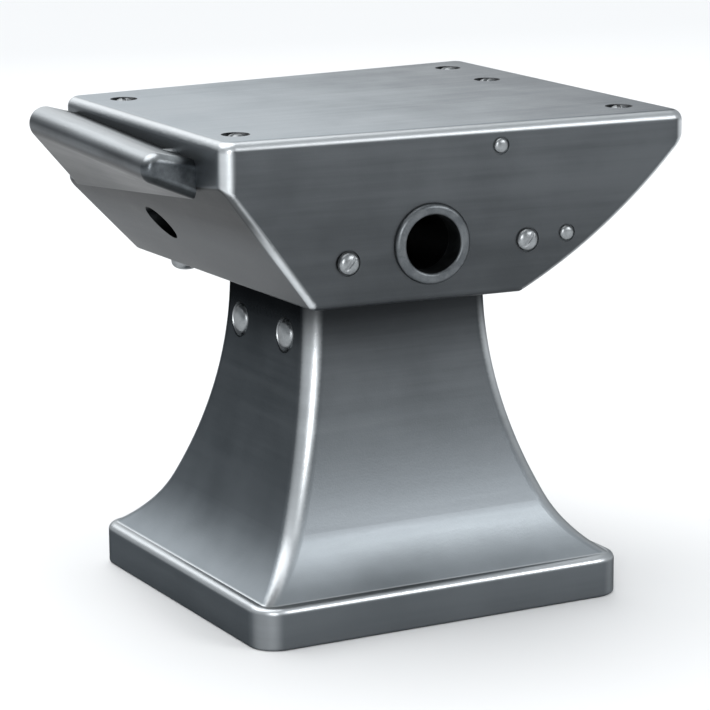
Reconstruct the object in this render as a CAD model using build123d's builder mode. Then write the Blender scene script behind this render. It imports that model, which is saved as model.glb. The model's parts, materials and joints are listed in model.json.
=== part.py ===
from build123d import *
from math import asin, atan, atan2, cos, degrees, hypot, radians, sin, sqrt, tan
import os

# A bench anvil: a boat-shaped head with a screwed-on face plate, a nose bar along its left end
# and a cross bore, standing on a flared pedestal. Millimetres. The origin is the middle of the
# foot, X runs along the head (the nose bar is at -X), Y to the back and Z up.

# Pedestal: a rounded foot slab under a flared column.
foot_length = 256.0
foot_depth = 238.0
foot_height = 26.5
foot_corner_radius = 18.0
foot_top_radius = 4.5
foot_bottom_radius = 2.0
neck_length = 127.2
neck_depth = 118.8
neck_height = 205.0
neck_straight = 5.0
flare_break_height = 60.0
flare_break_share = 0.518
column_edge_radius = 12.0
column_foot_inset = 6.5

# Socket in the neck and the spigot that the head stands on.
spigot_length = 79.6
spigot_depth = 71.6
spigot_reach = 48.0
spigot_bite = 12.0
spigot_corner_radius = 8.0
spigot_end_chamfer = 1.5
socket_gap = 0.2
socket_floor_gap = 2.0

# Head: side profile, seen along Y, and plan.
head_top = 308.8
plate_thickness = 22.5
head_left = -147.5
head_right = 157.0
bottom_left_near = -90.7
bottom_left_far = -98.5
bottom_right = 45.0
left_land_near = 285.9
left_land_far = 251.5
right_land = 293.5
right_undercut_start = 27.0
section_half_span = 145.0
half_depth_at_axis = 126.9
side_taper = 4.5
head_corner_radius = 9.5
top_edge_radius = 6.5
lower_edge_radius = 5.0
seat_pad_thickness = 16.0

# Cross bore and its two collars.
bore_x = -15.4
bore_z = 240.0
bore_radius = 17.5
collar_outer_radius = 24.6
collar_height = 3.4
collar_body_radius = 21.5
collar_depth = 12.0
collar_rim_radius = 3.1
collar_lip = 2.0

# Nose bar: a bar of wedge section on the left end, one section at each of its ends.
bar_near_y = -80.0
bar_far_y = 101.5
bar_near_nose = (-171.0, 290.5, 9.5)
bar_far_nose = (-168.5, 295.5, 10.5)
bar_near_root = 271.0
bar_far_root = 254.0
bar_end_radius = 6.5
bar_top_fall = 5.5
stud_radius = 5.0
stud_half_length = 14.0
stud_end_gap = 0.5
stud_chamfer = 0.6
stud_height = 292.5
stud_places = (-50.0, 10.0, 70.0)

# Face screws, (x, y, slot angle) of each.
face_screws = {
    "face_screw_near_left": (-125.0, -87.0, 20.0),
    "face_screw_far_left": (-121.0, 80.8, 75.0),
    "face_screw_near_right": (128.8, -104.5, 62.0),
    "face_screw_far_right": (127.0, 103.5, 10.0),
    "face_screw_middle_right": (120.6, 41.0, 40.0),
}
face_recess_radius = 8.6
face_recess_floor_radius = 6.0
face_recess_depth = 3.4
face_head_radius = 5.4
face_head_height = 3.9
face_shank_radius = 3.5
face_screw_end = 273.0

# Screw and pins in the front side, (x, z).
rest_screw_place = (47.5, 237.3)
rest_slot_angle = 52.0
rest_head_radius = 7.0
rest_head_height = 4.2
rest_shank_radius = 4.0
rest_shank_length = 26.0
stop_pins = {"plate_pin": (29.9, 295.6), "stop_pin": (74.1, 239.4)}
pin_head_radius = 4.7
pin_head_height = 2.8
pin_shank_radius = 2.5
pin_shank_length = 20.0
spot_face_gap = 0.9
spot_face_depth = 0.8

# Screws that lock the spigot, two through each side of the neck: (side, y, z), side -1 on the left.
neck_screws = {
    "neck_screw_left_rear": (-1, 33.5, 170.0),
    "neck_screw_left_front": (-1, -28.5, 171.5),
    "neck_screw_right_rear": (1, 33.5, 170.0),
    "neck_screw_right_front": (1, -28.5, 171.5),
}
neck_head_radius = 9.2
neck_head_height = 5.0
neck_dish_radius = 11.5
neck_dish_depth = 2.4
neck_shank_radius = 5.0
neck_screw_bite = 16.0

# Bolt up through the body into the underside of the plate.
plate_bolt_place = (-86.0, 68.0)
plate_bolt_end = 299.0
plate_bolt_head_radius = 9.5
plate_bolt_head_height = 6.5
plate_bolt_shank_radius = 4.0
plate_bolt_slot_angle = 25.0

# Tool socket in the left undercut. A long clamp screw from the front pushes a shoe against the shank.
socket_y = 19.5
socket_z = 239.8
socket_radius = 10.5
socket_end = -50.0
clamp_x = -69.6
clamp_z = 232.5
clamp_radius = 5.0
clamp_head_radius = 7.0
clamp_head_height = 4.2
clamp_slot_angle = 48.0
clamp_seat_y = -120.3
clamp_stand_off = 1.5
clamp_tip_radius = 2.5
clamp_tip_length = 4.0
shoe_length = 9.0
shoe_front_y = 8.9
shoe_chamfer = 0.6
shoe_end_play = 0.1

slot_width = 2.0
slot_depth = 1.5
thread_gap = 0.05
cut_overrun = 1.0
edge_tolerance = 0.1

plate_bottom = head_top - plate_thickness
column_half_length = foot_length / 2 - column_foot_inset
column_half_depth = foot_depth / 2 - column_foot_inset
clamp_seat = Plane(origin=(clamp_x, clamp_seat_y, clamp_z), x_dir=(1, 0, 0), z_dir=(0, -1, 0))


def half_depth(x):
    """Half the head's depth at x: its two long sides draw in towards the nose bar."""
    return half_depth_at_axis + x * tan(radians(side_taper))


def side_plane(x, z, side):
    """Plane on a long side of the head at (x, z), facing out: side is -1 for the front, 1 for the rear."""
    turn = radians(side_taper)
    along = (cos(turn), side * sin(turn), 0)
    if side > 0:
        along = tuple(-value for value in along)
    outward = (-sin(turn), side * cos(turn), 0)
    return Plane(origin=(x, side * half_depth(x), z), x_dir=along, z_dir=outward)


def neck_plane(side, y, z):
    """Plane on the left (-1) or right (1) face of the neck at (y, z), facing out."""
    x = side * flare_half_width(neck_length / 2, column_half_length, z)
    return Plane(origin=(x, y, z), x_dir=(0, side, 0), z_dir=(side, 0, 0))


def flare_radius(half_neck, half_foot):
    """Radius of the column's long arc, which leaves the neck upright and ends at the break height."""
    drop = neck_height - neck_straight - flare_break_height
    spread = flare_break_share * (half_foot - half_neck)
    return (drop**2 + spread**2) / (2 * spread)


def flare_half_width(half_neck, half_foot, z):
    """Half width of the column at height z, above the break height."""
    radius = flare_radius(half_neck, half_foot)
    drop = max(0.0, neck_height - neck_straight - z)
    return half_neck + radius - sqrt(radius**2 - drop**2)


def flare_outline(half_neck, half_foot):
    """Closed outline of the column: upright neck, long arc, tighter arc out to the foot."""
    arc_top = neck_height - neck_straight
    break_point = (half_neck + flare_break_share * (half_foot - half_neck), flare_break_height)
    with BuildLine() as outline:
        Line((0, neck_height), (half_neck, neck_height))
        Line((half_neck, neck_height), (half_neck, arc_top))
        long_arc = TangentArc((half_neck, arc_top), break_point, tangent=(0, -1))
        TangentArc(break_point, (half_foot, foot_height), tangent=long_arc % 1)
        Line((half_foot, foot_height), (0, foot_height))
        mirror(about=Plane.YZ)
    return outline.line


def headed_pin(seat, head_radius, head_height, shank_radius, shank_length, slot_angle=None):
    """Round-headed screw or pin standing on its seat plane, with a slot where an angle is given."""
    edge = 0.15 * head_height
    through_axis = Plane(origin=seat.origin, x_dir=seat.x_dir, z_dir=-seat.y_dir)
    with BuildPart() as pin:
        with BuildSketch(through_axis):
            with BuildLine():
                Line((0, -shank_length), (0, head_height))
                TangentArc((0, head_height), (head_radius, edge), tangent=(1, 0))
                Polyline(
                    (head_radius, edge),
                    (head_radius, 0),
                    (shank_radius, 0),
                    (shank_radius, -shank_length),
                    (0, -shank_length),
                )
            make_face()
        revolve(axis=Axis(seat.origin, seat.z_dir))
        if slot_angle is not None:
            with BuildSketch(seat.offset(head_height)):
                Rectangle(3 * head_radius, slot_width, rotation=slot_angle)
            extrude(amount=-slot_depth, mode=Mode.SUBTRACT)
    return pin.part


# Head blank: the whole head with its rounded edges, before it is parted into plate and body.
def head_section(bottom_left, left_land):
    """Side profile of the head, with its own left undercut."""
    start = radians(right_undercut_start)
    with BuildLine() as outline:
        Line((bottom_left, neck_height), (bottom_right, neck_height))
        TangentArc(
            (bottom_right, neck_height), (head_right, right_land), tangent=(cos(start), sin(start))
        )
        Polyline(
            (head_right, right_land),
            (head_right, head_top),
            (head_left, head_top),
            (head_left, left_land),
            (bottom_left, neck_height),
        )
    return outline.line


with BuildPart() as head_blank:
    with BuildSketch(Plane.XZ.offset(section_half_span)):
        add(head_section(bottom_left_near, left_land_near))
        make_face()
    with BuildSketch(Plane.XZ.offset(-section_half_span)):
        add(head_section(bottom_left_far, left_land_far))
        make_face()
    loft(ruled=True)
    with BuildSketch(Plane.XY.offset(neck_height - cut_overrun)) as plan:
        with BuildLine():
            Polyline(
                (head_left, -half_depth(head_left)),
                (head_right, -half_depth(head_right)),
                (head_right, half_depth(head_right)),
                (head_left, half_depth(head_left)),
                close=True,
            )
        make_face()
        fillet(plan.vertices(), head_corner_radius)
    extrude(amount=head_top - neck_height + 2 * cut_overrun, mode=Mode.INTERSECT)
    fillet(head_blank.edges().group_by(Axis.Z)[-1], top_edge_radius)
    lower_limit = head_top - top_edge_radius - edge_tolerance
    lower_edges = head_blank.edges().filter_by(lambda edge: edge.center().Z < lower_limit)
    fillet(lower_edges, lower_edge_radius)


# Face plate: the top of the head, with a conical recess and a hole for each face screw.
with BuildPart() as face_plate:
    add(head_blank.part)
    split(bisect_by=Plane.XY.offset(plate_bottom), keep=Keep.TOP)
    for x, y, _ in face_screws.values():
        with BuildSketch(Plane(origin=(x, y, head_top))):
            Circle(face_recess_radius)
        recess_slope = (face_recess_radius - face_recess_floor_radius) / face_recess_depth
        extrude(amount=-face_recess_depth, taper=degrees(atan(recess_slope)), mode=Mode.SUBTRACT)
        with BuildSketch(Plane(origin=(x, y, head_top))):
            Circle(face_shank_radius + thread_gap)
        extrude(amount=-plate_thickness, mode=Mode.SUBTRACT)
    with BuildSketch(side_plane(*stop_pins["plate_pin"], -1)):
        Circle(pin_shank_radius + thread_gap)
    extrude(amount=-pin_shank_length - cut_overrun, mode=Mode.SUBTRACT)
    with BuildSketch(side_plane(*stop_pins["plate_pin"], -1)):
        Circle(pin_head_radius + spot_face_gap)
    extrude(amount=-spot_face_depth, mode=Mode.SUBTRACT)
    for y in stud_places:
        with BuildSketch(Plane(origin=(head_left, y, stud_height), x_dir=(0, 1, 0), z_dir=(1, 0, 0))):
            Circle(stud_radius)
        extrude(amount=stud_half_length, mode=Mode.SUBTRACT)
    with BuildSketch(Plane(origin=(*plate_bolt_place, plate_bottom))):
        Circle(plate_bolt_shank_radius + thread_gap)
    extrude(amount=plate_bolt_end - plate_bottom + cut_overrun, mode=Mode.SUBTRACT)


# Head body: everything under the plate, with its seat pad, spigot pocket, bores and tapped holes.
with BuildPart() as head_body:
    add(head_blank.part)
    split(bisect_by=Plane.XY.offset(plate_bottom), keep=Keep.BOTTOM)
    with BuildSketch(Plane.XY.offset(neck_height)) as pad:
        Rectangle(neck_length, neck_depth)
        fillet(pad.vertices(), column_edge_radius)
    extrude(amount=seat_pad_thickness)
    with BuildSketch(Plane.XY.offset(neck_height)) as pocket:
        Rectangle(spigot_length + 2 * thread_gap, spigot_depth + 2 * thread_gap)
        fillet(pocket.vertices(), spigot_corner_radius + thread_gap)
    extrude(amount=spigot_bite, mode=Mode.SUBTRACT)
    with BuildSketch(Plane(origin=(bore_x, 0, bore_z), x_dir=(1, 0, 0), z_dir=(0, -1, 0))):
        Circle(bore_radius)
    extrude(amount=2 * half_depth_at_axis, both=True, mode=Mode.SUBTRACT)
    for side in (-1, 1):
        with BuildSketch(side_plane(bore_x, bore_z, side)):
            Circle(collar_body_radius)
        extrude(amount=-collar_depth, mode=Mode.SUBTRACT)
    for x, y, _ in face_screws.values():
        with BuildSketch(Plane(origin=(x, y, plate_bottom))):
            Circle(face_shank_radius + thread_gap)
        extrude(amount=face_screw_end - plate_bottom, mode=Mode.SUBTRACT)
    with BuildSketch(side_plane(*rest_screw_place, -1)):
        Circle(rest_shank_radius + thread_gap)
    extrude(amount=-rest_shank_length - cut_overrun, mode=Mode.SUBTRACT)
    with BuildSketch(side_plane(*rest_screw_place, -1)):
        Circle(rest_head_radius + spot_face_gap)
    extrude(amount=-spot_face_depth, mode=Mode.SUBTRACT)
    with BuildSketch(side_plane(*stop_pins["stop_pin"], -1)):
        Circle(pin_shank_radius + thread_gap)
    extrude(amount=-pin_shank_length - cut_overrun, mode=Mode.SUBTRACT)
    with BuildSketch(side_plane(*stop_pins["stop_pin"], -1)):
        Circle(pin_head_radius + spot_face_gap)
    extrude(amount=-spot_face_depth, mode=Mode.SUBTRACT)
    with BuildSketch(Plane(origin=(socket_end, socket_y, socket_z), x_dir=(0, 1, 0), z_dir=(-1, 0, 0))):
        Circle(socket_radius)
    extrude(amount=socket_end - head_left + cut_overrun, mode=Mode.SUBTRACT)
    with BuildSketch(clamp_seat):
        Circle(clamp_radius + thread_gap)
    extrude(amount=clamp_seat_y - socket_y, mode=Mode.SUBTRACT)
    with BuildSketch(clamp_seat):
        Circle(clamp_head_radius + spot_face_gap)
    extrude(amount=2 * spot_face_depth + clamp_stand_off, mode=Mode.SUBTRACT)
    with BuildSketch(Plane(origin=(*plate_bolt_place, neck_height - cut_overrun))):
        Circle(plate_bolt_shank_radius + thread_gap)
    extrude(amount=head_top - neck_height, mode=Mode.SUBTRACT)


# Spigot: the block that is pressed into the head and stands in the neck's socket.
with BuildPart() as spigot:
    with BuildSketch(Plane.XY.offset(neck_height - spigot_reach)) as block:
        Rectangle(spigot_length, spigot_depth)
        fillet(block.vertices(), spigot_corner_radius)
    extrude(amount=spigot_reach + spigot_bite)
    chamfer(spigot.edges().group_by(Axis.Z)[0], spigot_end_chamfer)
    for side, y, z in neck_screws.values():
        spigot_side = Plane(origin=(side * spigot_length / 2, y, z), x_dir=(0, 1, 0), z_dir=(side, 0, 0))
        with BuildSketch(spigot_side):
            Circle(neck_shank_radius + thread_gap)
        extrude(amount=-neck_screw_bite - cut_overrun, mode=Mode.SUBTRACT)


# Pedestal: foot slab and flared column in one casting, with a socket for the spigot.
with BuildPart() as column:
    with BuildSketch(Plane.XZ):
        add(flare_outline(neck_length / 2, column_half_length))
        make_face()
    extrude(amount=foot_depth, both=True)
    with BuildSketch(Plane.YZ):
        add(flare_outline(neck_depth / 2, column_half_depth))
        make_face()
    extrude(amount=foot_length, both=True, mode=Mode.INTERSECT)
    column_corners = column.edges().filter_by(
        lambda edge: min(abs(edge.center().X), abs(edge.center().Y)) > edge_tolerance
    )
    fillet(column_corners, column_edge_radius)

with BuildPart() as pedestal:
    with BuildSketch() as foot:
        Rectangle(foot_length, foot_depth)
        fillet(foot.vertices(), foot_corner_radius)
    extrude(amount=foot_height)
    fillet(pedestal.edges().group_by(Axis.Z)[-1], foot_top_radius)
    fillet(pedestal.edges().group_by(Axis.Z)[0], foot_bottom_radius)
    add(column.part)
    with BuildSketch(Plane.XY.offset(neck_height)) as socket:
        Rectangle(spigot_length + 2 * socket_gap, spigot_depth + 2 * socket_gap)
        fillet(socket.vertices(), spigot_corner_radius + socket_gap)
    extrude(amount=-spigot_reach - socket_floor_gap, mode=Mode.SUBTRACT)
    for side, y, z in neck_screws.values():
        seat = neck_plane(side, y, z)
        with BuildSketch(seat):
            Circle(neck_shank_radius + thread_gap)
        extrude(amount=-neck_length / 2, mode=Mode.SUBTRACT)
        with BuildSketch(seat):
            Circle(neck_dish_radius)
        dish_slope = (neck_dish_radius - neck_head_radius - spot_face_gap) / neck_dish_depth
        extrude(amount=-neck_dish_depth, taper=degrees(atan(dish_slope)), mode=Mode.SUBTRACT)
        with BuildSketch(seat):
            Circle(neck_dish_radius)
        extrude(amount=neck_dish_depth, mode=Mode.SUBTRACT)


# Nose bar: wedge section, round at the nose, its top falling to the plate's end that it is bolted to.
def touch_point(nose, root, side):
    """Where the line from the plate's end at height root touches the nose circle: side 1 below, -1 above."""
    nose_x, nose_z, radius = nose
    reach = hypot(nose_x - head_left, nose_z - root)
    angle = atan2(nose_z - root, nose_x - head_left) + side * asin(radius / reach)
    run = sqrt(reach**2 - radius**2)
    return (head_left + run * cos(angle), root + run * sin(angle))


def bar_section(nose, root):
    """Closed section of the bar from its nose circle (x, z, radius) and the height of its root."""
    nose_x, nose_z, radius = nose
    top_root = nose_z + radius - bar_top_fall
    upper = touch_point(nose, top_root, -1)
    lower = touch_point(nose, root, 1)
    with BuildLine() as outline:
        ThreePointArc(upper, (nose_x - radius, nose_z), lower)
        Polyline(lower, (head_left, root), (head_left, top_root), upper)
    return outline.line


with BuildPart() as nose_bar:
    with BuildSketch(Plane.XZ.offset(-bar_near_y)):
        add(bar_section(bar_near_nose, bar_near_root))
        make_face()
    with BuildSketch(Plane.XZ.offset(-bar_far_y)):
        add(bar_section(bar_far_nose, bar_far_root))
        make_face()
    loft(ruled=True)
    end_edges = nose_bar.edges().filter_by(
        lambda edge: edge.center().X < head_left - edge_tolerance
        and min(abs(edge.center().Y - bar_near_y), abs(edge.center().Y - bar_far_y)) < edge_tolerance
    )
    fillet(end_edges, bar_end_radius)
    for y in stud_places:
        with BuildSketch(Plane(origin=(head_left, y, stud_height), x_dir=(0, 1, 0), z_dir=(-1, 0, 0))):
            Circle(stud_radius)
        extrude(amount=stud_half_length, mode=Mode.SUBTRACT)


# Collars pressed into both ends of the cross bore, flange square to the tapered side.
def bore_collar(side):
    """Flanged collar at the front (-1) or rear (1) end of the cross bore."""
    seat = side_plane(bore_x, bore_z, side)
    with BuildPart() as collar:
        with BuildSketch(seat):
            Circle(collar_outer_radius)
        extrude(amount=collar_height)
        rim = collar.edges().filter_by(GeomType.CIRCLE).sort_by(Axis.Y)[0 if side < 0 else -1]
        fillet(rim, collar_rim_radius)
        with BuildSketch(seat):
            Circle(collar_body_radius)
        extrude(amount=-collar_depth)
        with BuildSketch(Plane(origin=(bore_x, 0, bore_z), x_dir=(1, 0, 0), z_dir=(0, side, 0))):
            Circle(bore_radius)
        extrude(amount=2 * half_depth_at_axis, mode=Mode.SUBTRACT)
        lip = collar.edges().filter_by(GeomType.ELLIPSE).sort_by(Axis.Y)[0 if side < 0 else -1]
        fillet(lip, collar_lip)
    return collar.part


# Clamp shoe: a short brass plug with a blind seat for the screw's tip.
shoe_back_y = shoe_front_y - shoe_length
shoe_face = Plane(origin=(clamp_x, shoe_front_y, clamp_z), x_dir=(1, 0, 0), z_dir=(0, -1, 0))
with BuildPart() as clamp_shoe:
    with BuildSketch(shoe_face):
        Circle(clamp_radius)
    extrude(amount=shoe_length)
    chamfer(clamp_shoe.edges().group_by(Axis.Y)[-1], shoe_chamfer)
    with BuildSketch(shoe_face.offset(shoe_length)):
        Circle(clamp_tip_radius + thread_gap)
    extrude(amount=-clamp_tip_length - shoe_end_play, mode=Mode.SUBTRACT)

# Clamp screw: slotted round head standing off its seat, long shank, and a tip that turns in the shoe.
clamp_head_seat = clamp_seat.offset(clamp_stand_off)
clamp_reach = shoe_back_y - shoe_end_play - clamp_head_seat.origin.Y
with BuildPart() as clamp_screw:
    clamp_head = (clamp_head_radius, clamp_head_height)
    add(headed_pin(clamp_head_seat, *clamp_head, clamp_radius, clamp_reach, clamp_slot_angle))
    with BuildSketch(clamp_head_seat.offset(-clamp_reach)):
        Circle(clamp_tip_radius)
    extrude(amount=-clamp_tip_length)

# Plate bolt: round head under the flat bottom of the head.
plate_bolt_seat = Plane(origin=(*plate_bolt_place, neck_height), x_dir=(1, 0, 0), z_dir=(0, 0, -1))

pieces = {
    "pedestal": pedestal.part,
    "spigot": spigot.part,
    "head_body": head_body.part,
    "face_plate": face_plate.part,
    "nose_bar": nose_bar.part,
    "bore_collar_front": bore_collar(-1),
    "bore_collar_rear": bore_collar(1),
    "clamp_shoe": clamp_shoe.part,
    "clamp_screw": clamp_screw.part,
    "plate_bolt": headed_pin(
        plate_bolt_seat,
        plate_bolt_head_radius,
        plate_bolt_head_height,
        plate_bolt_shank_radius,
        plate_bolt_end - neck_height,
        plate_bolt_slot_angle,
    ),
    "rest_screw": headed_pin(
        side_plane(*rest_screw_place, -1).offset(-spot_face_depth),
        rest_head_radius,
        rest_head_height,
        rest_shank_radius,
        rest_shank_length - spot_face_depth,
        rest_slot_angle,
    ),
}

# Face screws: the head sits on the floor of its recess.
seat_height = head_top - face_recess_depth
for name, (x, y, slot_angle) in face_screws.items():
    seat = Plane(origin=(x, y, seat_height))
    reach = seat_height - face_screw_end - cut_overrun
    head = (face_head_radius, face_head_height)
    pieces[name] = headed_pin(seat, *head, face_shank_radius, reach, slot_angle)

# Pins: heads on their spot faces in the front side.
for name, (x, z) in stop_pins.items():
    seat = side_plane(x, z, -1).offset(-spot_face_depth)
    reach = pin_shank_length - spot_face_depth
    pieces[name] = headed_pin(seat, pin_head_radius, pin_head_height, pin_shank_radius, reach)

# Neck screws: heads in dished seats, points in the spigot.
for name, (side, y, z) in neck_screws.items():
    seat = neck_plane(side, y, z).offset(-neck_dish_depth)
    reach = abs(seat.origin.X) - spigot_length / 2 + neck_screw_bite
    pieces[name] = headed_pin(seat, neck_head_radius, neck_head_height, neck_shank_radius, reach)

# Studs: half in the plate's end, half in the nose bar.
for count, y in enumerate(stud_places, start=1):
    with BuildPart() as stud:
        with BuildSketch(Plane(origin=(head_left, y, stud_height), x_dir=(0, 1, 0), z_dir=(-1, 0, 0))):
            Circle(stud_radius)
        extrude(amount=stud_half_length - stud_end_gap, both=True)
        chamfer(stud.edges().filter_by(GeomType.CIRCLE), stud_chamfer)
    pieces[f"bar_stud_{count}"] = stud.part

os.makedirs("parts", exist_ok=True)
for name, piece in pieces.items():
    piece.label = name
    export_step(piece, f"parts/{name}.step")
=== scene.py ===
import json
import math

import bpy
from mathutils import Matrix, Vector


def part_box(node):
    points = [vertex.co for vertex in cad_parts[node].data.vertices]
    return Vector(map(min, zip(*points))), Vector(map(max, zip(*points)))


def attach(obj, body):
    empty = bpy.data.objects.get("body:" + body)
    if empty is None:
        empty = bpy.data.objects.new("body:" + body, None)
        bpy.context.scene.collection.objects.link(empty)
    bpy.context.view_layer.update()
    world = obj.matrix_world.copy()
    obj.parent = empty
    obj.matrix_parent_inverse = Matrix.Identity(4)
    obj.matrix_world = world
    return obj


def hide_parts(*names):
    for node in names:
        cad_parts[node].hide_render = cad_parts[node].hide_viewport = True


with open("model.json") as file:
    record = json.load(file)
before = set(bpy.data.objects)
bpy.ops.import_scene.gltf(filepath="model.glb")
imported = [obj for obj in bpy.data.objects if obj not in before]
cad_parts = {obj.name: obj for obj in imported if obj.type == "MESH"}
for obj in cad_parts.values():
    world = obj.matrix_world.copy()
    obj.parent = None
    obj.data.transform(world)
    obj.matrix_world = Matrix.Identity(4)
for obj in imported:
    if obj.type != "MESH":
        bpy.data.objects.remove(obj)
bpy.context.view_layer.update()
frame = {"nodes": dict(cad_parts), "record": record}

mm = 0.001
mounts = {mount["name"]: mount for mount in frame["record"]["mounts"]}


# A socket that can be written with in plain arithmetic: each operator adds its Math node.
class Value:
    def __init__(self, maker, socket):
        self.maker = maker
        self.socket = socket

    def join(self, operation, *others):
        return self.maker.add("ShaderNodeMath", {"operation": operation}, self, *others)

    def __add__(self, other):
        return self.join("ADD", other)

    def __radd__(self, other):
        return self.join("ADD", other)

    def __sub__(self, other):
        return self.join("SUBTRACT", other)

    def __rsub__(self, other):
        return self.maker.add("ShaderNodeMath", {"operation": "SUBTRACT"}, other, self)

    def __neg__(self):
        return 0.0 - self

    def __mul__(self, other):
        return self.join("MULTIPLY", other)

    def __rmul__(self, other):
        return self.join("MULTIPLY", other)

    def __truediv__(self, other):
        return self.join("DIVIDE", other)

    def __gt__(self, other):
        return self.join("GREATER_THAN", other)

    def __pow__(self, other):
        return self.join("POWER", other)

    def root(self):
        return self.join("SQRT")

    def absolute(self):
        return self.join("ABSOLUTE")

    def clipped(self):
        return self.maker.add("ShaderNodeClamp", {}, self)

    # Rises softly from 0 to 1 between low and high.
    def step(self, low, high):
        settings = {"interpolation_type": "SMOOTHSTEP"}
        return self.maker.add("ShaderNodeMapRange", settings, self, low, high, 0.0, 1.0)

    # Falls softly from 1 to 0 between low and high.
    def fade(self, low, high):
        settings = {"interpolation_type": "SMOOTHSTEP"}
        return self.maker.add("ShaderNodeMapRange", settings, self, low, high, 1.0, 0.0)


# A node tree that grows by add(type, settings, socket values), the values in order or by name.
class Tree:
    def __init__(self, tree):
        self.tree = tree

    def feed(self, target, value):
        if isinstance(value, Value):
            self.tree.links.new(value.socket, target)
        else:
            target.default_value = value

    def add(self, kind, settings, *values, output=0, **named):
        node = self.tree.nodes.new(kind)
        for key, setting in settings.items():
            setattr(node, key, setting)
        for target, value in zip(node.inputs, values):
            self.feed(target, value)
        for key, value in named.items():
            self.feed(node.inputs[key], value)
        return Value(self, node.outputs[output])

    def split(self, vector):
        node = self.tree.nodes.new("ShaderNodeSeparateXYZ")
        self.feed(node.inputs[0], vector)
        return [Value(self, node.outputs[axis]) for axis in "XYZ"]


# One material. Its patterns read the place on the object and the way that the surface faces.
class Finish(Tree):
    def __init__(self, name):
        self.material = bpy.data.materials.new(name)
        self.material.use_nodes = True
        super().__init__(self.material.node_tree)
        self.place = self.add("ShaderNodeTexCoord", {}, output="Object")
        self.facing = self.add("ShaderNodeNewGeometry", {}, output="Normal")

    def stretched(self, x, y, z):
        return self.add("ShaderNodeVectorMath", {"operation": "MULTIPLY"}, self.place, (x, y, z))

    def noise(self, scale, detail=3.0, roughness=0.5, vector=None):
        named = {"Vector": vector or self.place, "Scale": scale, "Detail": detail, "Roughness": roughness}
        return self.add("ShaderNodeTexNoise", {}, **named)

    def blend(self, share, low, high):
        node = self.tree.nodes.new("ShaderNodeMix")
        node.data_type = "RGBA"
        factor, first, second = node.inputs[0], node.inputs[6], node.inputs[7]
        self.feed(factor, share)
        for target, colour in ((first, low), (second, high)):
            self.feed(target, colour if isinstance(colour, Value) else (*colour, 1))
        return Value(self, node.outputs[2])

    def bump(self, height, strength, distance, under=None):
        named = {"Strength": strength, "Distance": distance, "Height": height}
        if under:
            named["Normal"] = under
        return self.add("ShaderNodeBump", {}, **named)

    # tint limits how bright a slanting view of the metal gets.
    def done(self, tint, **sockets):
        surface = self.tree.nodes["Principled BSDF"]
        surface.inputs["Metallic"].default_value = 1.0
        surface.inputs["Specular Tint"].default_value = (tint, tint, tint, 1)
        for key, value in sockets.items():
            self.feed(surface.inputs[key.replace("_", " ")], value)
        return self.material


# Colours are linear. dark and light are the two skins of the mottling; the edge colour is wear with a
# painted highlight on rounded edges, the near-black colour is painted shade, the pale colour is dust with
# painted light on faces that turn up. A pair of heights or distances is where a patch begins and where it is
# full.
castLook = {
    "dark": (0.064, 0.070, 0.075),
    "light": (0.094, 0.102, 0.109),
    "wearAndHighlight": (0.66, 0.69, 0.71),
    "wearAndHighlightShare": 0.92,
    "dustAndPaintedLight": (0.19, 0.212, 0.23),
    "paintedShade": (0.010, 0.011, 0.012),
    "roughness": 0.42,
    "polish": 0.08,
    "grainSize": 1.1 * mm,
    "grainDepth": 0.10 * mm,
    "dentDepth": 0.5 * mm,
}
pedestalLook = {
    **castLook,
    "edgeTint": 0.25,
    "skirtLight": (0.50, 0.545, 0.58),
    "skirtHeight": (36 * mm, 105 * mm),
    "slabTop": (24.0 * mm, 27.0 * mm),
    "rimTop": (26.6 * mm, 27.4 * mm),
    "slabPale": 0.35,
    "neckShade": (150 * mm, 194 * mm),
    "neckShadeShare": 0.93,
}
headLook = {
    **castLook,
    "edgeTint": 0.85,
    "lowShade": (215 * mm, 300 * mm),
    "lowShadeShare": 0.25,
    "sideInset": (7.2 * mm, 8.2 * mm),
    "leftInset": (-139.6 * mm, -138.6 * mm),
    "rightInset": (148.5 * mm, 149.5 * mm),
    "barShadeReach": (100 * mm, 132 * mm),
    "barShadeHeight": (228 * mm, 262 * mm),
    "barShadeShare": 0.85,
    "landPaintedLight": 0.35,
    "socketEdge": (0.1 * mm, 0.5 * mm),
    "socketEnd": (-51 * mm, -49 * mm),
    "boreEdge": (0.5 * mm, 1.5 * mm),
    "holeShade": 0.8,
    "recessHeight": (300 * mm, 301 * mm),
    "recessShade": 0.88,
}
# left and right are the two ends of the painted sheen on the ground top.
faceLook = {
    "left": (0.33, 0.37, 0.40),
    "right": (0.085, 0.10, 0.115),
    "height": (308 * mm, 308.4 * mm),
    "roughness": 0.36,
    "scratchDepth": 0.03 * mm,
}
barLook = {
    "dark": (0.055, 0.061, 0.067),
    "light": (0.12, 0.132, 0.142),
    "wearAndHighlight": (0.55, 0.58, 0.60),
    "wearAndHighlightShare": 0.85,
    "ridgeHighlight": (151 * mm, 164 * mm),
    "paintedShade": (0.016, 0.018, 0.019),
    "gap": (149 * mm, 160 * mm),
    "gapShade": 0.85,
    "underShade": 0.8,
    "roughness": 0.34,
    "edgeTint": 0.8,
    "streakDepth": 0.05 * mm,
}
collarLook = {
    "dark": (0.085, 0.093, 0.10),
    "light": (0.13, 0.14, 0.148),
    "roughness": 0.36,
    "edgeTint": 0.5,
    "edgeRadius": 1.4 * mm,
}
screwLook = {
    "dark": (0.21, 0.222, 0.23),
    "light": (0.29, 0.305, 0.315),
    "roughness": 0.33,
    "edgeTint": 0.6,
    "edgeRadius": 0.5 * mm,
}
brassLook = {
    "dark": (0.42, 0.27, 0.09),
    "light": (0.60, 0.42, 0.17),
    "roughness": 0.32,
    "edgeTint": 0.8,
    "edgeRadius": 0.3 * mm,
}


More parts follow.
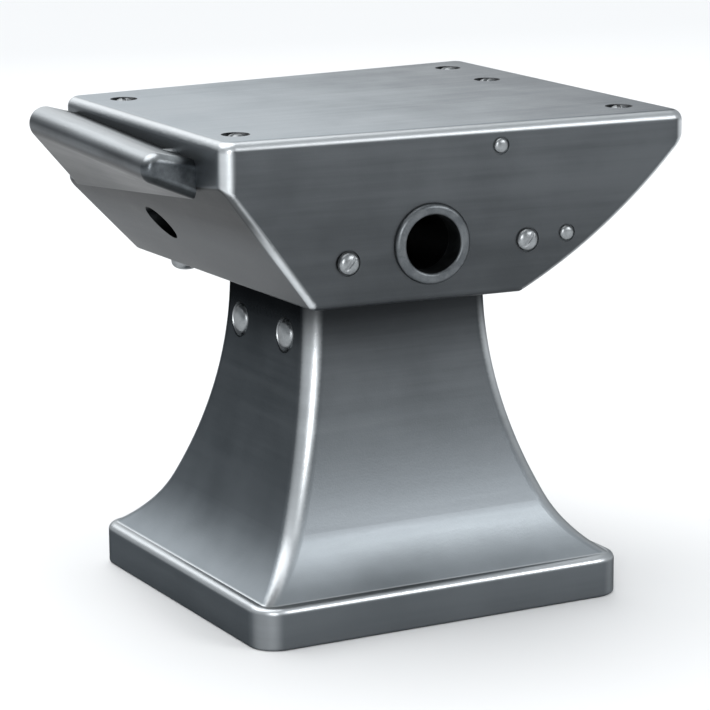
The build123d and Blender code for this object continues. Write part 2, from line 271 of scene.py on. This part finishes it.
# The skin that all cast surfaces share: colour from slow mottling and faint streaks, fine grain in relief.
def castSkin(make, look):
    mottle = make.noise(16.0, 4.0, 0.55)
    cloud = make.noise(6.0, 2.0, 0.5, make.stretched(1, 1, 2.0))
    streak = make.noise(55.0, 3.0, 0.65, make.stretched(0.10, 0.10, 2.4))
    grain = make.noise(1 / look["grainSize"], 2.0, 0.6)
    tone = (0.4 * mottle + 0.3 * cloud + 0.3 * streak).step(0.36, 0.64)
    colour = make.blend(tone, look["dark"], look["light"])
    rough = look["roughness"] + 0.14 * (mottle - 0.5) + 0.10 * (streak - 0.5) + 0.06 * (grain - 0.5)
    dents = make.bump(mottle, 0.3, look["dentDepth"])
    relief = make.bump(grain + 0.35 * streak, 0.5, look["grainDepth"], dents)
    return mottle, streak, colour, rough, relief


# How far a surface faces between the main directions, as upright rounded corners do.
def cornerMask(nx, ny):
    upright = nx * nx + ny * ny + 0.0001
    return upright, ((nx * ny).absolute() * 2.0 / upright).step(0.25, 1.0)


def pedestalFinish(name, look):
    make = Finish(name)
    z = make.split(make.place)[2]
    nx, ny, nz = make.split(make.facing)
    mottle, streak, colour, rough, relief = castSkin(make, look)
    corner = cornerMask(nx, ny)[1]
    # Painted highlight along the foot's top rim, where its rounded edge turns up.
    rimHighlight = (nz - 0.05).step(0.0, 0.5) * z.fade(*look["rimTop"])
    slab = z.fade(*look["slabTop"])
    # Faces that turn up go paler: painted light from above, with dust.
    upward = nz.step(0.05, 0.6) * (0.75 + 0.5 * (mottle - 0.5))
    colour = make.blend(upward.clipped(), colour, look["dustAndPaintedLight"])
    # Painted light on the low part of the flare that turns up, strongest on the sides towards the front.
    skirtLight = nz.step(0.25, 0.7) * z.fade(*look["skirtHeight"]) * (0.8 + 0.8 * (mottle - 0.5))
    colour = make.blend(skirtLight.clipped() * (0.35 - 0.65 * ny).clipped(), colour, look["skirtLight"])
    # The foot slab is made paler.
    colour = make.blend(slab * look["slabPale"], colour, look["dustAndPaintedLight"])
    # Rounded upright corners and the rim take the edge colour: wear with a painted highlight, weaker on the
    # foot slab.
    edge = (corner * (1.0 - 0.75 * slab) + rimHighlight).clipped() * (0.9 + 0.3 * (streak - 0.5)).clipped()
    colour = make.blend(edge.clipped() * look["wearAndHighlightShare"], colour, look["wearAndHighlight"])
    # Painted shadow on the neck under the head, darkest at the top.
    shade = z.step(*look["neckShade"]) * look["neckShadeShare"]
    colour = make.blend(shade, colour, look["paintedShade"])
    rough = rough - look["polish"] * edge
    return make.done(look["edgeTint"], Base_Color=colour, Roughness=rough, Normal=relief)


# The head's sides spread by the side taper, so its half depth grows along X.
sideTaper = math.radians(4.5)
halfDepth = 126.9 * mm


# 1 inside the tool socket and the through bore.
def holeMask(x, y, z, look):
    _, socketY, socketZ = mounts["tool_socket"]["pos_m"]
    socketRadius = mounts["tool_socket"]["dims"]["r_mm"] * mm
    socketOff = ((y - socketY) ** 2.0 + (z - socketZ) ** 2.0).root() - socketRadius
    boreX, _, boreZ = mounts["cross_bore"]["pos_m"]
    boreRadius = mounts["cross_bore"]["dims"]["r_mm"] * mm
    boreOff = ((x - boreX) ** 2.0 + (z - boreZ) ** 2.0).root() - boreRadius
    inSocket = socketOff.fade(*look["socketEdge"]) * x.fade(*look["socketEnd"])
    return (inSocket + boreOff.fade(*look["boreEdge"])).clipped()


# Ground top of the plate: fine scratches across it, and a painted sheen, lighter at the left and falling off
# to the right.
def groundFace(make, face, x, z, nz, mottle, look, colour, rough, relief):
    flat = nz.step(0.93, 0.995) * z.step(*face["height"])
    scratch = make.noise(90.0, 4.0, 0.7, make.stretched(0.06, 1.6, 1))
    # The sheen is painted light: lighter at the left end, darker towards the right.
    sweep = x * 2.6 + 0.42 + 0.5 * (mottle - 0.5) + 0.2 * (scratch - 0.5)
    paintedSheen = make.blend(sweep.clipped().step(0.0, 1.0), face["left"], face["right"])
    colour = make.blend(flat, colour, paintedSheen)
    rough = rough + flat * (face["roughness"] - look["roughness"] + 0.1 * (scratch - 0.5))
    relief = make.bump(scratch * flat, 0.4, face["scratchDepth"], relief)
    return colour, rough, relief


def headFinish(name, look, face=None):
    make = Finish(name)
    x, y, z = make.split(make.place)
    nx, ny, nz = make.split(make.facing)
    mottle, streak, colour, rough, relief = castSkin(make, look)
    # Painted shade: the head gets darker towards its bottom.
    lower = make.blend(look["lowShadeShare"], colour, look["paintedShade"])
    colour = make.blend(z.step(*look["lowShade"]), lower, colour)
    # Rounded upright corners, and the top's rounded edges outside its inner part, take the edge colour: wear
    # with a painted highlight.
    upright, corner = cornerMask(nx, ny)
    corner = corner * upright.step(0.3, 0.9)
    sideGap = halfDepth + x * math.tan(sideTaper) - y.absolute()
    inner = sideGap.step(*look["sideInset"]) * x.step(*look["leftInset"]) * x.fade(*look["rightInset"])
    rimHighlight = (nz * (1.0 - nz * nz).root() * 2.0).step(0.25, 0.95) * (1.0 - inner)
    edge = (corner + rimHighlight).clipped() * (0.92 + 0.3 * (streak - 0.5)).clipped()
    colour = make.blend(edge.clipped() * look["wearAndHighlightShare"], colour, look["wearAndHighlight"])
    # Painted shadow on downward faces under and behind the nose bar.
    downward = (-nz).step(0.1, 0.4)
    behind = (-x).step(*look["barShadeReach"]) * z.step(*look["barShadeHeight"]) * downward
    colour = make.blend(behind * look["barShadeShare"], colour, look["paintedShade"])
    # Painted light: the left end land, which faces left, is made paler.
    colour = make.blend((-nx).step(0.9, 0.99) * look["landPaintedLight"], colour, look["dustAndPaintedLight"])
    # Painted shade in the screw recesses of the top, in the tool socket and in the through bore.
    recess = inner * z.step(*look["recessHeight"]) * nz.fade(0.9, 0.97)
    hidden = holeMask(x, y, z, look) * look["holeShade"] + recess * look["recessShade"]
    colour = make.blend(hidden.clipped(), colour, look["paintedShade"])
    if face:
        colour, rough, relief = groundFace(make, face, x, z, nz, mottle, look, colour, rough, relief)
    rough = rough - look["polish"] * edge
    return make.done(look["edgeTint"], Base_Color=colour, Roughness=rough, Normal=relief)


# Drawn steel: streaks along the bar, a painted highlight on the ridge of its round nose, and painted shade
# towards the plate and below.
def barFinish(name, look):
    make = Finish(name)
    x = make.split(make.place)[0]
    nz = make.split(make.facing)[2]
    mottle = make.noise(18.0, 3.0, 0.5)
    drawn = make.noise(150.0, 4.0, 0.65, make.stretched(1.0, 0.03, 1.0))
    colour = make.blend((0.5 * mottle + 0.5 * drawn).step(0.35, 0.65), look["dark"], look["light"])
    # Painted highlight along the ridge of the round nose, in the edge colour of wear and highlight.
    ridgeHighlight = nz.step(0.2, 0.75) * (-x).step(*look["ridgeHighlight"]) * (0.8 + 0.6 * (drawn - 0.5))
    colour = make.blend(ridgeHighlight.clipped() * look["wearAndHighlightShare"], colour, look["wearAndHighlight"])
    # Painted shade in the gap next to the plate and on the underside.
    gap = nz.step(0.3, 0.8) * (-x).fade(*look["gap"])
    below = (-nz).step(0.1, 0.45)
    paintedBarShade = gap * look["gapShade"] + below * look["underShade"]
    colour = make.blend(paintedBarShade.clipped(), colour, look["paintedShade"])
    rough = look["roughness"] + 0.12 * (mottle - 0.5) + 0.14 * (drawn - 0.5)
    relief = make.bump(drawn, 0.5, look["streakDepth"])
    return make.done(look["edgeTint"], Base_Color=colour, Roughness=rough, Normal=relief)


# Small turned parts, with softly broken edges.
def turnedFinish(name, look):
    make = Finish(name)
    mottle = make.noise(120.0, 3.0, 0.6)
    grain = make.noise(900.0, 2.0, 0.6)
    colour = make.blend((0.7 * mottle + 0.3 * grain).step(0.35, 0.65), look["dark"], look["light"])
    rough = look["roughness"] + 0.15 * (mottle - 0.5) + 0.08 * (grain - 0.5)
    soft = make.add("ShaderNodeBevel", {"samples": 6}, Radius=look["edgeRadius"])
    relief = make.bump(grain, 0.3, 0.04 * mm, soft)
    return make.done(look["edgeTint"], Base_Color=colour, Roughness=rough, Normal=relief)


print("finishes")
screwFinish = turnedFinish("screwSteel", screwLook)
collarFinish = turnedFinish("collarSteel", collarLook)
finishes = {
    "pedestal": pedestalFinish("castPedestal", pedestalLook),
    "head_body": headFinish("castHead", headLook),
    "face_plate": headFinish("faceSteel", headLook, faceLook),
    "nose_bar": barFinish("barSteel", barLook),
    "clamp_shoe": turnedFinish("shoeBrass", brassLook),
    "bore_collar_front": collarFinish,
    "bore_collar_rear": collarFinish,
}
for name, piece in frame["nodes"].items():
    piece.data.materials.clear()
    piece.data.materials.append(finishes.get(name, screwFinish))

# Round-headed screws and pins. sizes holds the fields in order, in millimetres, out is the way that
# the heads face, and turns says how far each node's slot is turned, in degrees.
headFields = ["Head radius", "Head height", "Slot width", "Slot depth", "Shank radius", "Shank length"]
slantOut = (-math.sin(sideTaper), -math.cos(sideTaper), 0)
fasteners = {
    "faceScrews": {
        "sizes": (5.4, 3.9, 2.0, 1.5, 3.5, 24.0),
        "out": (0, 0, 1),
        "turns": {
            "face_screw_near_left": 20,
            "face_screw_far_left": 75,
            "face_screw_near_right": 62,
            "face_screw_far_right": 10,
            "face_screw_middle_right": 40,
        },
    },
    "leftNeckScrews": {
        "sizes": (9.2, 5.0, 0.0, 0.0, 5.0, 20.0),
        "out": (-1, 0, 0),
        "turns": {"neck_screw_left_rear": 0, "neck_screw_left_front": 0},
    },
    "rightNeckScrews": {
        "sizes": (9.2, 5.0, 0.0, 0.0, 5.0, 20.0),
        "out": (1, 0, 0),
        "turns": {"neck_screw_right_rear": 0, "neck_screw_right_front": 0},
    },
    "frontPins": {
        "sizes": (4.7, 2.8, 0.0, 0.0, 2.5, 16.0),
        "out": slantOut,
        "turns": {"plate_pin": 0, "stop_pin": 0},
    },
    "restScrew": {"sizes": (7.0, 4.2, 1.7, 1.0, 4.0, 22.0), "out": slantOut, "turns": {"rest_screw": 52}},
    "plateBolt": {"sizes": (9.5, 6.5, 2.0, 1.5, 4.0, 60.0), "out": (0, 0, -1), "turns": {"plate_bolt": 25}},
    "clampScrew": {
        "sizes": (7.0, 4.2, 1.7, 1.0, 5.0, 131.0),
        "out": (0, -1, 0),
        "turns": {"clamp_screw": 48},
        "body": "clamp_screw",
    },
}
# bulge and shoulder shape the dome's curve; the slot's walls fall between the two shares of its width.
headShape = {
    "rows": 49,
    "columns": 97,
    "bulge": 1.3,
    "shoulder": 0.42,
    "slotWalls": (0.42, 0.62),
    "seatShare": 0.995,
    "seatThickness": 0.4 * mm,
    "seatMiddle": 0.1 * mm,
    "shankSides": 64,
    "weld": 0.01 * mm,
}


# One node tree makes every head: a grid rolled into a dome with a slot, its shank and a seat, on each point.
class HeadTree(Tree):
    def __init__(self, name, shape, material):
        super().__init__(bpy.data.node_groups.new(name, "GeometryNodeTree"))
        self.shape = shape
        face = self.tree.interface
        face.new_socket("Geometry", in_out="INPUT", socket_type="NodeSocketGeometry")
        for field in headFields:
            face.new_socket(field, in_out="INPUT", socket_type="NodeSocketFloat")
        face.new_socket("Geometry", in_out="OUTPUT", socket_type="NodeSocketGeometry")
        given = self.tree.nodes.new("NodeGroupInput")
        places, *sizes = [Value(self, given.outputs[index]) for index in range(len(headFields) + 1)]
        radius, height, slotWidth, slotDepth, shankRadius, shankLength = sizes
        head = self.add("GeometryNodeJoinGeometry", {}, self.dome(radius, height, slotWidth, slotDepth))
        shank = self.cylinder(shankRadius, shankLength, shankLength * -0.5)
        seat = self.cylinder(radius * shape["seatShare"], shape["seatThickness"], shape["seatMiddle"])
        for part in (shank, seat):
            self.tree.links.new(part.socket, head.socket.node.inputs[0])
        turn = self.add("GeometryNodeInputNamedAttribute", {"data_type": "FLOAT_VECTOR"}, Name="turn")
        heads = self.add("GeometryNodeInstanceOnPoints", {}, Points=places, Instance=head, Rotation=turn)
        solid = self.add("GeometryNodeRealizeInstances", {}, Geometry=heads)
        done = self.add("GeometryNodeSetMaterial", {}, Geometry=solid, Material=material)
        result = self.tree.nodes.new("NodeGroupOutput")
        self.tree.links.new(done.socket, result.inputs[0])

    def dome(self, radius, height, slotWidth, slotDepth):
        shape = self.shape
        grid = self.add("GeometryNodeMeshGrid", {}, 2.0, 2.0, shape["rows"], shape["columns"])
        across, along, _ = self.split(self.add("GeometryNodeInputPosition", {}))
        swing = along * (math.pi / 2)
        x = across * swing.join("COSINE") * radius
        y = swing.join("SINE") * radius
        share = ((x * x + y * y) / (radius * radius)).join("MINIMUM", 1.0)
        top = height * (1.0 - share ** shape["bulge"]) ** shape["shoulder"]
        slot = y.absolute().fade(*(slotWidth * wall for wall in shape["slotWalls"])) * (slotWidth > 0.0)
        sink = (top - (height - slotDepth)).join("MAXIMUM", 0.0) * slot
        spot = self.add("ShaderNodeCombineXYZ", {}, x, y, top - sink)
        shell = self.add("GeometryNodeSetPosition", {}, Geometry=grid, Position=spot)
        shell = self.add("GeometryNodeMergeByDistance", {}, Geometry=shell, Distance=shape["weld"])
        return self.add("GeometryNodeSetShadeSmooth", {}, Geometry=shell)

    def cylinder(self, radius, length, middle):
        sides = self.shape["shankSides"]
        body = self.add("GeometryNodeMeshCylinder", {}, Vertices=sides, Radius=radius, Depth=length)
        lift = self.add("ShaderNodeCombineXYZ", {}, 0.0, 0.0, middle)
        return self.add("GeometryNodeTransform", {}, Geometry=body, Translation=lift)


# The turn that points a head out of its surface, its slot level before it is turned.
def facingTurn(out, degreesTurned):
    out = Vector(out).normalized()
    level = Vector((1, 0, 0)) if abs(out.x) < 0.5 else Vector((0, out.x, 0))
    level = (level - out * level.dot(out)).normalized()
    frameTurn = Matrix((level, out.cross(level), out)).transposed()
    return (frameTurn @ Matrix.Rotation(math.radians(degreesTurned), 3, "Z")).to_euler()


# The middle of the head's seat, from the box of the node that it replaces.
def seatSpot(node, out, height):
    low, high = (Vector(corner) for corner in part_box(node))
    apex = (low + high) / 2
    main = max(range(3), key=lambda axis: abs(out[axis]))
    apex[main] = (high if out[main] > 0 else low)[main]
    if main == 1:
        apex.x += out.x * height / 2
    return apex - out * height


def makeFasteners(name, look, tree):
    out = Vector(look["out"])
    height = look["sizes"][1] * mm
    mesh = bpy.data.meshes.new(name)
    mesh.from_pydata([seatSpot(node, out, height) for node in look["turns"]], [], [])
    marks = mesh.attributes.new("turn", "FLOAT_VECTOR", "POINT")
    for mark, degreesTurned in zip(marks.data, look["turns"].values()):
        mark.vector = facingTurn(out, degreesTurned)
    maker = bpy.data.objects.new(name, mesh)
    bpy.context.collection.objects.link(maker)
    modifier = maker.modifiers.new("heads", "NODES")
    modifier.node_group = tree
    fields = [item for item in tree.interface.items_tree if item.in_out == "INPUT"][1:]
    for item, size in zip(fields, look["sizes"]):
        modifier[item.identifier] = size * mm
    evaluated = maker.evaluated_get(bpy.context.evaluated_depsgraph_get())
    plain = bpy.data.meshes.new_from_object(evaluated)
    maker.modifiers.remove(modifier)
    maker.data = plain
    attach(maker, look.get("body", "anvil"))
    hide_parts(*look["turns"])


print("fasteners")
headTree = HeadTree("roundHeads", headShape, screwFinish)
for name, look in fasteners.items():
    makeFasteners(name, look, headTree.tree)

viewpoint = {
    "azimuth": math.radians(-28.09),
    "elevation": math.radians(12.75),
    "roll": math.radians(-0.39),
    "distance": 2.0532,
    "aside": -0.0028,
    "raised": 0.1415,
    "lens": 161.1,
    "sensor": 36,
    "shift": (0.0032, 0.0015),
    "farthest": 100,
}


def setCamera(look):
    az, el = look["azimuth"], look["elevation"]
    back = Vector((math.sin(az) * math.cos(el), -math.cos(az) * math.cos(el), math.sin(el)))
    level = Vector((0, 0, 1)).cross(back).normalized()
    upright = back.cross(level)
    turn = look["roll"]
    right = level * math.cos(turn) + upright * math.sin(turn)
    up = upright * math.cos(turn) - level * math.sin(turn)
    spot = back * look["distance"] + right * look["aside"] + up * look["raised"]
    data = bpy.data.cameras.new("camera")
    data.lens = look["lens"]
    data.sensor_width = look["sensor"]
    data.shift_x, data.shift_y = look["shift"]
    data.clip_end = look["farthest"]
    camera = bpy.data.objects.new("camera", data)
    camera.matrix_world = Matrix.Translation(spot) @ Matrix((right, up, back)).transposed().to_4x4()
    bpy.context.collection.objects.link(camera)
    bpy.context.scene.camera = camera


# Lamps: position, size and watts. The overhead sun gives the even pale floor.
studio = {
    "floorSize": 30.0,
    "floorShade": (0.84, 0.845, 0.85, 1),
    "floorRoughness": 0.7,
    "worldShade": (0.93, 0.97, 1.0, 1),
    "worldStrength": 0.50,
    "sunStrength": 2.15,
    "sunSpread": math.radians(70),
    "sunLean": (math.radians(-18), math.radians(-12), 0),
    "aim": (0, 0, 0.2),
    "lamps": {
        "rearBox": ((0.35, 2.0, 1.25), (2.4, 1.3), 9.0),
        "frontBox": ((1.25, -2.1, 1.25), (1.2, 1.0), 22.0),
        "edgeBox": ((-1.75, -2.6, 1.0), (0.7, 1.1), 34.0),
    },
}


def layFloor(look):
    half = look["floorSize"] / 2
    mesh = bpy.data.meshes.new("floor")
    corners = [(-half, -half, 0), (half, -half, 0), (half, half, 0), (-half, half, 0)]
    mesh.from_pydata(corners, [], [(0, 1, 2, 3)])
    floor = bpy.data.objects.new("floor", mesh)
    bpy.context.collection.objects.link(floor)
    paper = bpy.data.materials.new("paper")
    paper.use_nodes = True
    surface = paper.node_tree.nodes["Principled BSDF"]
    surface.inputs["Base Color"].default_value = look["floorShade"]
    surface.inputs["Roughness"].default_value = look["floorRoughness"]
    mesh.materials.append(paper)


def lightWorld(look):
    world = bpy.data.worlds.new("studio")
    world.use_nodes = True
    sky = world.node_tree.nodes["Background"]
    sky.inputs["Color"].default_value = look["worldShade"]
    sky.inputs["Strength"].default_value = look["worldStrength"]
    bpy.context.scene.world = world
    data = bpy.data.lights.new("overhead", "SUN")
    data.energy = look["sunStrength"]
    data.angle = look["sunSpread"]
    sun = bpy.data.objects.new("overhead", data)
    sun.rotation_euler = look["sunLean"]
    bpy.context.collection.objects.link(sun)


def lampAt(name, spot, size, power, aim):
    data = bpy.data.lights.new(name, "AREA")
    data.shape = "RECTANGLE"
    data.size, data.size_y = size
    data.energy = power
    lamp = bpy.data.objects.new(name, data)
    towards = Vector(aim) - Vector(spot)
    lamp.matrix_world = Matrix.Translation(spot) @ towards.to_track_quat("-Z", "Y").to_matrix().to_4x4()
    bpy.context.collection.objects.link(lamp)


print("studio")
setCamera(viewpoint)
layFloor(studio)
lightWorld(studio)
for name, settings in studio["lamps"].items():
    lampAt(name, *settings, studio["aim"])
bpy.context.scene.view_settings.view_transform = "Standard"
